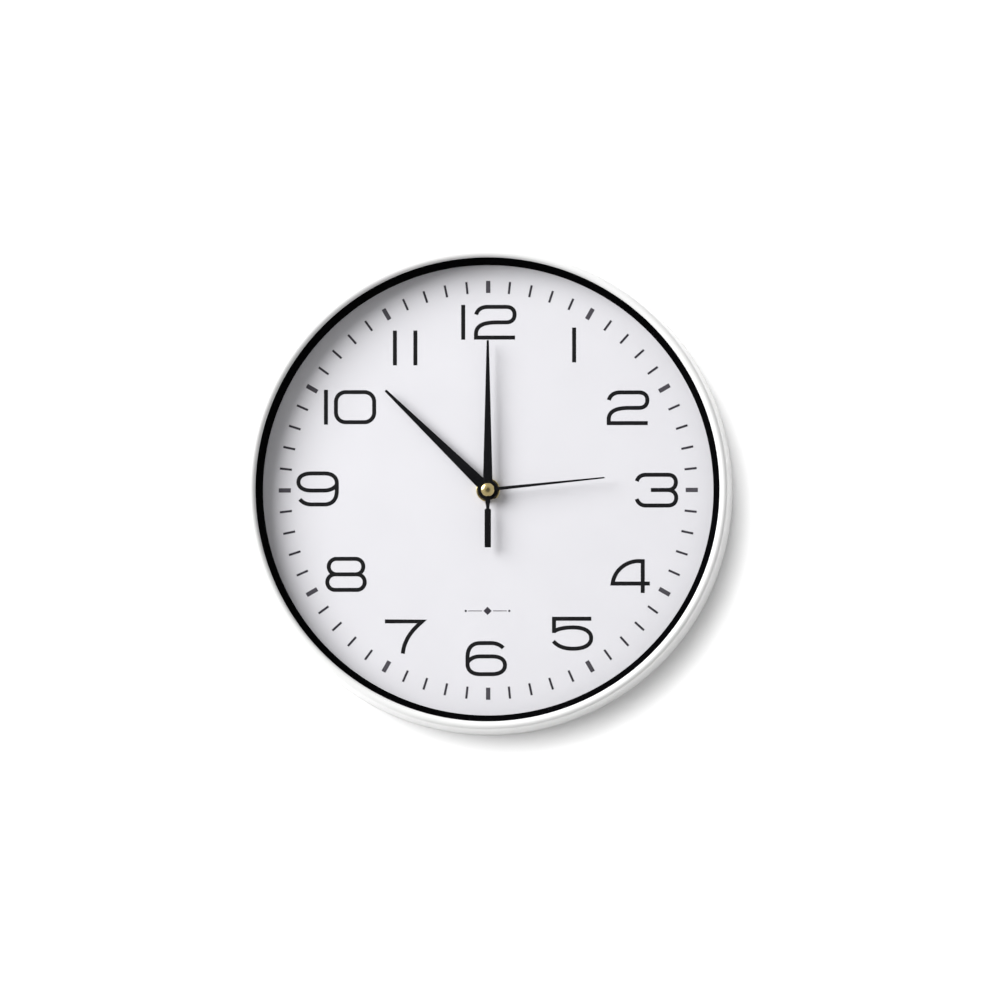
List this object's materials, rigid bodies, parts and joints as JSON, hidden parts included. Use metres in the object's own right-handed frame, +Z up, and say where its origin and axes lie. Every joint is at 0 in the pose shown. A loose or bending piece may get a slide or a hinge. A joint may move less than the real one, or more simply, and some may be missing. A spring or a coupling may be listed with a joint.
{
  "type": "wall clock",
  "caption": "Round wall clock: white moulded case, black inner ring, flat glass lens, numbered dial, three black hands and a battery quartz movement with its gear train.",
  "frame": {"origin": "hanging point of the keyhole in the back cover, where the shank of the wall screw bears, taken in the plane of the wall", "axes": "+Z up, +Y into the wall, so the dial faces -Y and +X is the viewer's right"},
  "size_m": [0.305, 0.042, 0.305],
  "materials": {
    "white_case": "smooth moulded white plastic, softly glossy",
    "back_plastic": "fine spark-textured white plastic",
    "black_ring": "smooth black plastic, satin",
    "lens_glass": "clear flat mineral glass",
    "dial_board": "printed sheet, cool white, matt",
    "hand_black": "black satin paint on thin sheet metal",
    "brass": "bright turned brass",
    "steel": "zinc-plated steel",
    "magnet": "sintered magnet",
    "copper_wire": "enamelled copper wire",
    "gear_plastic": "natural acetal",
    "movement_black": "black moulded plastic, fine texture",
    "rubber": "black rubber",
    "board_resin": "green circuit board",
    "battery_sleeve": "printed battery sleeve, plain colours, no lettering"
  },
  "bodies": {
    "case": {"case_ring": "white_case", "lens": "lens_glass", "inner_ring": "black_ring", "dial": "dial_board", "back_cover": "back_plastic", "cover_screw_1": "steel", "cover_screw_2": "steel", "cover_screw_3": "steel", "cover_screw_4": "steel", "cover_screw_5": "steel", "cover_screw_6": "steel", "movement_housing": "movement_black", "movement_cover": "movement_black", "threaded_bushing": "brass", "rubber_washer": "rubber", "brass_washer": "brass", "dial_nut": "brass", "train_bridge": "gear_plastic", "stator": "steel", "coil_core": "steel", "coil_bobbin": "gear_plastic", "coil_winding": "copper_wire", "circuit_board": "board_resin", "chip_cover": "rubber", "crystal_can": "steel", "positive_contact": "steel", "negative_contact": "steel"},
    "minute": {"minute_hand": "hand_black", "minute_arbor": "brass", "centre_wheel": "gear_plastic"},
    "hour": {"hour_hand": "hand_black", "hour_wheel": "gear_plastic"},
    "second": {"second_hand": "hand_black", "seconds_wheel": "gear_plastic", "hub_cap": "brass"},
    "intermediate": {"intermediate_wheel": "gear_plastic"},
    "third": {"third_wheel": "gear_plastic"},
    "rotor": {"rotor_pinion": "gear_plastic", "rotor_magnet": "magnet"},
    "reverse": {"reverse_wheel": "gear_plastic"},
    "setting": {"setting_knob": "movement_black", "setting_pinion": "gear_plastic"},
    "battery": {"battery_can": "battery_sleeve", "battery_terminal": "steel"}
  },
  "joints": [
    {"name": "minute_spin", "type": "hinge", "parent": "case", "child": "minute", "pos_m": [0, -0.02, -0.112], "axis": [0, 1, 0], "continuous": true},
    {"name": "hour_spin", "type": "hinge", "parent": "case", "child": "hour", "pos_m": [0, -0.02, -0.112], "axis": [0, 1, 0], "continuous": true},
    {"name": "second_spin", "type": "hinge", "parent": "case", "child": "second", "pos_m": [0, -0.02, -0.112], "axis": [0, 1, 0], "continuous": true},
    {"name": "intermediate_spin", "type": "hinge", "parent": "case", "child": "intermediate", "pos_m": [0.00264, -0.02, -0.10215], "axis": [0, 1, 0], "continuous": true},
    {"name": "third_spin", "type": "hinge", "parent": "case", "child": "third", "pos_m": [-0.00695, -0.02, -0.11014], "axis": [0, 1, 0], "continuous": true},
    {"name": "rotor_spin", "type": "hinge", "parent": "case", "child": "rotor", "pos_m": [-0.012, -0.02, -0.1051], "axis": [0, 1, 0], "continuous": true},
    {"name": "reverse_spin", "type": "hinge", "parent": "case", "child": "reverse", "pos_m": [0.009, -0.02, -0.112], "axis": [0, 1, 0], "continuous": true},
    {"name": "setting_spin", "type": "hinge", "parent": "case", "child": "setting", "pos_m": [0.01845, -0.02, -0.112], "axis": [0, 1, 0], "continuous": true},
    {"name": "battery_slide", "type": "slide", "parent": "case", "child": "battery", "axis": [0, 1, 0], "range_m": [0, 0.03]}
  ],
  "couplings": [
    {"joint": "hour_spin", "follows": "minute_spin", "ratio": 0.083333},
    {"joint": "second_spin", "follows": "minute_spin", "ratio": 60},
    {"joint": "intermediate_spin", "follows": "minute_spin", "ratio": -8},
    {"joint": "third_spin", "follows": "minute_spin", "ratio": -300},
    {"joint": "rotor_spin", "follows": "minute_spin", "ratio": 1800},
    {"joint": "reverse_spin", "follows": "minute_spin", "ratio": -0.33333},
    {"joint": "setting_spin", "follows": "minute_spin", "ratio": 0.83333}
  ]
}
